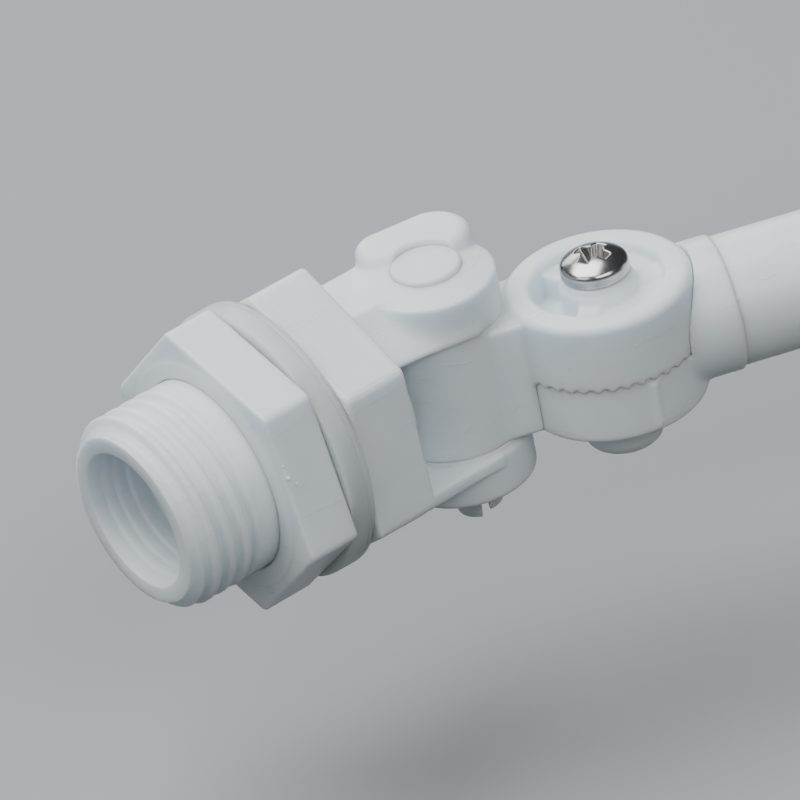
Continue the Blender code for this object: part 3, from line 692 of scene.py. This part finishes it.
def lever(p):
    """A barrel round the pin, a cam for the piston, a web, and the pocketed disc that the arm turns on."""
    u, v, w = arm_frame(p)
    barrel = post(p, PIN, BARREL_R, *BARREL_Z, 0.12)
    cam = post(p, (PIN_X, 0.0), BARREL_R, *CAM_Z, 0.5)
    web = block((u, v, w), *zip(WEB_U, WEB_V, WEB_Z), 0.3)
    web = cut(web, post(p, SCREW, KNUCKLE_R + 0.05, -10, 0.3), 0.06)
    disc = post(p, SCREW, DISC_R, -3.0, DISC_TOP, 0.9)
    disc = overlap(disc, (serration(p) + TOOTH_GAP - w) * TOOTH_SLOPE, 0.05)
    shape = join(disc, web, 0.45)
    shape = join(join(shape, barrel, 0.12), cam, 0.3)
    shape = cut(shape, recess(p), 0.6)
    shape = join(shape, post(p, SCREW, LEVER_BOSS_R, *LEVER_BOSS_Z, 0.2), 0.3)
    shape = cut(shape, post(p, SCREW, SCREW_HOLE_R, -12, 12))
    return cut(shape, post(p, PIN, PIN_HOLE_R + 0.05, -12, 12))


def make_lever():
    reach = DISC_R + 0.1
    moulded("lever_moulding", lever, (PIN_X - 7, SCREW_Y - reach, -6.7), (SCREW_X + reach, 7.0, 7.6), 0.19,
            NYLON, "lever", "white_nylon", ("lever",))


# ---------------------------------------------------------------- clamp screw

HEAD_BASE_Z, HEAD_RIM_Z, HEAD_TOP_Z = 7.6, 8.9, 10.15
SCREW_HEAD_R, SCREW_R, SCREW_TIP_Z = 3.5, 1.75, -9.5
DRIVE_TURNS = (math.radians(20), math.radians(110))
DRIVE_HALF, DRIVE_REACH, DRIVE_DEPTH = 0.62, 2.05, 2.1
DRIVE_CORE_R, DRIVE_CORE_DEPTH = 1.15, 2.3


def clamp_screw(p):
    """A pan-head screw with a tapered cross recess."""
    x, y = p[0] - SCREW_X, p[1] - SCREW_Y
    away = np.hypot(x, y)
    rise = HEAD_TOP_Z - HEAD_RIM_Z
    ball_r = (SCREW_HEAD_R ** 2 + rise ** 2) / (2 * rise)
    dome = np.hypot(away, p[2] - HEAD_TOP_Z + ball_r) - ball_r
    head = overlap(overlap(away - SCREW_HEAD_R, dome, 0.35), HEAD_BASE_Z - p[2], 0.3)
    shape = join(head, post(p, SCREW, SCREW_R, SCREW_TIP_Z, 8.0, 0.2), 0.1)
    depth = np.maximum(HEAD_TOP_Z - p[2], 0)
    for turn in DRIVE_TURNS:
        along = np.abs(x * math.cos(turn) + y * math.sin(turn))
        across = np.abs(y * math.cos(turn) - x * math.sin(turn))
        walls = overlap(across - DRIVE_HALF + depth * 0.14, along - DRIVE_REACH + depth * 0.6, 0.1)
        shape = cut(shape, overlap(walls, HEAD_TOP_Z - DRIVE_DEPTH - p[2], 0.1), 0.14)
    core = overlap(away - DRIVE_CORE_R + depth * 0.3, HEAD_TOP_Z - DRIVE_CORE_DEPTH - p[2])
    return cut(shape, core, 0.1)


def make_clamp_screw():
    reach = SCREW_HEAD_R + 0.1
    moulded("clamp_screw_steel", clamp_screw, (SCREW_X - reach, SCREW_Y - reach, -9.6),
            (SCREW_X + reach, SCREW_Y + reach, 10.2), 0.09,
            STEEL, "clamp_screw", "stainless_steel", ("clamp_screw",))


# ---------------------------------------------------------------- arm

RIB_ANGLE, RIB_R, RIB_Z = math.radians(-78), 0.45, (-6.2, -1.2)
KNUCKLE_BOTTOM_Z = -6.67
NUB_R, NUB_BOTTOM_Z = 4.1, -12.1
COLLAR_R, COLLAR_END, SPIGOT_R, SPIGOT_END, SPIGOT_BORE_R = 7.0, 12.4, 5.0, 26.5, 3.6
TUBE_R, TUBE_BORE_R, TUBE_START, TUBE_END = 6.67, 5.3, 12.2, 131.9
STUD_R, STUD_END, PLUG_FLANGE_END, PLUG_START = 4.0, 158.0, 136.3, 118.5


def knuckle(p):
    """The toothed disc under the lever's disc, its blind boss, a rib, and the collar that holds the tube."""
    u, v, w = arm_frame(p)
    tube_away = np.hypot(v, w)
    disc = post(p, SCREW, KNUCKLE_R, KNUCKLE_BOTTOM_Z, 3.0, 0.35)
    disc = overlap(disc, (w - serration(p) + TOOTH_GAP) * TOOTH_SLOPE, 0.05)
    boss = post(p, SCREW, NUB_R, NUB_BOTTOM_Z, -5.0, 1.5)
    lever_room = post(p, SCREW, DISC_R + 0.07, PARTING_Z - 0.45, 20.0)
    collar = cut(blend_round(tube_away - COLLAR_R, between(u, 3.0, COLLAR_END), 0.35), lever_room, 0.15)
    spigot = cut(blend_round(tube_away - SPIGOT_R, between(u, 8.0, SPIGOT_END), 0.3), lever_room, 0.15)
    shape = join(disc, boss, 0.5)
    shape = join(shape, overlap(collar, -6.8 - w, 0.4), 0.5)
    rib_x, rib_y = (KNUCKLE_R - 0.2) * math.cos(RIB_ANGLE), (KNUCKLE_R - 0.2) * math.sin(RIB_ANGLE)
    rib = overlap(np.hypot(u - rib_x, v - rib_y) - RIB_R, between(w, *RIB_Z), 0.2)
    shape = join(join(shape, rib, 0.5), spigot)
    shape = cut(shape, np.maximum(tube_away - SPIGOT_BORE_R, COLLAR_END - u))
    return cut(shape, post(p, SCREW, SCREW_HOLE_R, -10.5, 8.0))


def make_arm():
    """The knuckle, the tube and the plug with the float's stud."""
    reach, side = 28.0, DISC_R + 0.1
    high = (SCREW_X + reach * math.cos(ARM_ANGLE) + 3.0, SCREW_Y + side, COLLAR_R + 0.1)
    low = (SCREW_X - side, SCREW_Y + reach * math.sin(ARM_ANGLE) - COLLAR_R, NUB_BOTTOM_Z - 0.1)
    moulded("arm_knuckle_moulding", knuckle, low, high, 0.22, NYLON, "arm", "white_nylon", ("arm_knuckle",))
    middle_r, middle = 6.0, 60.0
    tube = [(middle_r, TUBE_START), (TUBE_R, TUBE_START), (TUBE_R, middle), (TUBE_R, TUBE_END),
            (TUBE_BORE_R, TUBE_END), (TUBE_BORE_R, TUBE_START), (middle_r, TUBE_START)]
    swept("arm_tube_wall", round_corners(tube, 0.2, 3)[:-1], place_arm, 120,
          (NYLON, "arm", "white_nylon", ("arm_tube",)))
    flange_start = TUBE_END + 0.1
    plug = [(0.0, STUD_END), (STUD_R, STUD_END), (STUD_R, PLUG_FLANGE_END), (COLLAR_R, PLUG_FLANGE_END),
            (COLLAR_R, flange_start), (SPIGOT_R, flange_start), (SPIGOT_R, PLUG_START), (0.0, PLUG_START)]
    swept("end_plug", round_corners(plug, 0.4, 3), place_arm, 96,
          (ACETAL, "arm", "white_acetal", ("arm_end_plug",)))


# ---------------------------------------------------------------- float

FLOAT_CENTRE, FLOAT_R, FLOAT_WALL = 186.0, 40.0, 1.6
FLOAT_INSIDE_R = FLOAT_R - FLOAT_WALL
FLOAT_NECK_R, FLOAT_NECK_START, FLOAT_BORE_R, FLOAT_BORE_END = 8.0, 143.5, 4.35, 161.0
SKIN_R = FLOAT_R - 0.1
FLOAT_NUT, FLOAT_NUT_FLAT = (137.0, 143.0), 6.9


def arc(radius, start, end, count):
    angles = [start + (end - start) * step / count for step in range(count + 1)]
    return [(radius * math.sin(angle), FLOAT_CENTRE + radius * math.cos(angle)) for angle in angles]


def weld_bead(side):
    """The raised edge of one shell, from its skin to the seam. The side is 1 for the far shell."""
    return [(FLOAT_R - 0.05, FLOAT_CENTRE + 1.3 * side), (FLOAT_R, FLOAT_CENTRE + 0.9 * side),
            (FLOAT_R, FLOAT_CENTRE + 0.25 * side), (FLOAT_R - 0.2, FLOAT_CENTRE + 0.03 * side)]


def float_nut(p):
    u, v, w = arm_frame(p)
    around = six_sides(v, w, FLOAT_NUT_FLAT, 0.0, 0.5)
    shape = blend_round(around, between(u, *FLOAT_NUT), 0.4)
    return cut(shape, np.hypot(v, w) - FLOAT_BORE_R, 0.3)


def make_float():
    """A ball of two welded shells, with a neck for the stud, and the nut that locks it."""
    edge, bead_angle, seam = math.pi / 2, 0.04, 0.02 / FLOAT_R
    about = (NYLON, "float", "white_nylon")
    far = arc(SKIN_R, 0.0, edge - bead_angle, 40) + weld_bead(1) + arc(FLOAT_INSIDE_R, edge - seam, 0.0, 30)
    swept("float_far_wall", far, place_arm, 128, about + (("float_far_shell",),))
    neck_outer = math.pi - math.asin(FLOAT_NECK_R / FLOAT_R)
    near = weld_bead(-1)[::-1] + arc(SKIN_R, edge + bead_angle, neck_outer - 0.05, 40)
    near += [(8.5, 146.2), (8.05, 145.3), (FLOAT_NECK_R, 144.6), (FLOAT_NECK_R - 0.3, FLOAT_NECK_START),
             (FLOAT_BORE_R + 0.2, FLOAT_NECK_START), (FLOAT_BORE_R, FLOAT_NECK_START + 0.3),
             (FLOAT_BORE_R, FLOAT_BORE_END), (FLOAT_NECK_R, FLOAT_BORE_END)]
    near += arc(FLOAT_INSIDE_R, math.pi - math.asin(FLOAT_NECK_R / FLOAT_INSIDE_R), edge + seam, 30)
    swept("float_near_wall", near, place_arm, 128, about + (("float_near_shell",),))
    x, y, _ = place_arm(0.0, 0.0, sum(FLOAT_NUT) / 2)
    moulded("float_nut_moulding", float_nut, (x - 7, y - 9, -8.2), (x + 7, y + 9, 8.2), 0.2,
            ACETAL, "float", "white_acetal", ("float_neck_nut",))


# ---------------------------------------------------------------- working parts inside

NOZZLE_X, NOZZLE_BODY_R, NOZZLE_FLANGE_R, NOZZLE_BORE_R = (-10.0, -5.0), 3.0, 5.8, 1.6
PISTON_R, PISTON_GROOVE_R, PISTON_PAD_R, PISTON_X = 7.2, 6.2, 2.0, (-2.3, 9.9)
WASHER_R, WASHER_X = 4.4, (-2.55, -0.5)


def make_inside():
    """The flow nozzle in the seat wall, the piston and its rubber washer."""
    start, lip = NOZZLE_X
    shoulder = start + 1.1
    nozzle = [(2.4, lip), (NOZZLE_BODY_R, lip - 0.4), (NOZZLE_BODY_R, shoulder), (NOZZLE_FLANGE_R, shoulder),
              (NOZZLE_FLANGE_R, start), (3.4, start), (NOZZLE_BORE_R, start + 1.6), (NOZZLE_BORE_R, lip),
              (2.0, lip)]
    swept("nozzle_moulding", round_corners(nozzle, 0.2, 3), place_axial, 96,
          (ACETAL, "housing", "white_acetal", ("flow_nozzle",)))
    front, rear = PISTON_X
    washer_room_r, washer_room_x = WASHER_R + 0.3, -0.2
    piston = [(0.0, rear + 0.5), (PISTON_PAD_R, rear + 0.5), (PISTON_PAD_R, rear), (PISTON_R, rear),
              (PISTON_R, 6.0), (PISTON_GROOVE_R, 5.4), (PISTON_GROOVE_R, 2.4), (PISTON_R, 1.8),
              (PISTON_R, front + 1.0), (PISTON_GROOVE_R, front), (washer_room_r, front),
              (washer_room_r, washer_room_x), (0.0, washer_room_x)]
    swept("piston_moulding", round_corners(piston, 0.3, 3), place_axial, 96,
          (ACETAL, "piston", "white_acetal", ("piston",)))
    washer = [(0.0, WASHER_X[1]), (WASHER_R, WASHER_X[1]), (WASHER_R, WASHER_X[0]), (0.0, WASHER_X[0])]
    swept("washer_rubber", round_corners(washer, 0.25, 3), place_axial, 96,
          (RUBBER, "piston", "black_rubber", ("piston_washer",)))


# ---------------------------------------------------------------- studio

FLOOR_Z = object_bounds()[0][2]
CAMERA_PLACE = Vector((-0.347266, -0.575849, 0.417019))
CAMERA_AIM = Vector((0.01117, -0.00473, 0.0))
CAMERA_ROLL = math.radians(-11.57)
FLOOR_COLOUR = (0.36, 0.375, 0.395)
FLOOR_SHADE = (0.345, 0.36, 0.38)
LIGHT_AIM = (0.01, -0.004, 0.0)
# Name, place, size, power and colour
LIGHTS = [("top_softbox", (-0.10, 0.14, 0.62), (0.6, 0.6), 5.8, (0.95, 0.98, 1.0)),
          ("left_fill", (-0.62, -0.10, 0.42), (0.5, 0.5), 1.3, (0.95, 0.975, 1.0)),
          ("front_fill", (-0.05, -0.62, 0.52), (0.6, 0.4), 3.2, (0.95, 0.975, 1.0)),
          ("back_rim", (0.25, 0.60, 0.30), (0.5, 0.3), 1.6, (0.98, 0.99, 1.0))]
WORLD_COLOUR, WORLD_STRENGTH = (0.80, 0.84, 0.88, 1.0), 0.08


def make_floor():
    """A plain pale floor. It doesn't light the object from below."""
    bpy.ops.mesh.primitive_plane_add(size=4.0, location=(0.1, 0.2, FLOOR_Z - 0.0002))
    floor = bpy.context.object
    floor.name = "studio_floor"
    floor.visible_diffuse = False
    material, tree, shader = new_material("floor_paint")
    cloud = noise(tree, 3.0, 3.0)
    tree.links.new(ramp(tree, cloud, [(0.3, FLOOR_SHADE), (0.7, FLOOR_COLOUR)]), shader.inputs["Base Color"])
    shader.inputs["Roughness"].default_value = 0.85
    floor.data.materials.append(material)


def add_light(name, place, size, power, colour):
    data = bpy.data.lights.new(name, "AREA")
    data.shape = "RECTANGLE"
    data.size, data.size_y = size
    data.energy = power
    data.color = colour
    light = bpy.data.objects.new(name, data)
    bpy.context.scene.collection.objects.link(light)
    light.location = place
    light.rotation_euler = (Vector(LIGHT_AIM) - Vector(place)).to_track_quat("-Z", "Y").to_euler()


def make_lights():
    for light in LIGHTS:
        add_light(*light)
    world = bpy.data.worlds.new("studio")
    world.use_nodes = True
    world.node_tree.nodes["Background"].inputs["Color"].default_value = WORLD_COLOUR
    world.node_tree.nodes["Background"].inputs["Strength"].default_value = WORLD_STRENGTH
    bpy.context.scene.world = world


def make_camera():
    data = bpy.data.cameras.new("camera")
    data.lens = 360.0
    data.sensor_width = 36.0
    data.clip_start, data.clip_end = 0.05, 10.0
    camera = bpy.data.objects.new("camera", data)
    bpy.context.scene.collection.objects.link(camera)
    turn = (CAMERA_AIM - CAMERA_PLACE).to_track_quat("-Z", "Y").to_matrix().to_4x4()
    camera.matrix_world = Matrix.Translation(CAMERA_PLACE) @ turn @ Matrix.Rotation(CAMERA_ROLL, 4, "Z")
    bpy.context.scene.camera = camera


make_camera()
make_floor()
make_lights()
make_shank()
make_housing()
make_lock_nut()
make_gasket()
make_pivot_pin()
make_lever()
make_clamp_screw()
make_arm()
make_float()
make_inside()
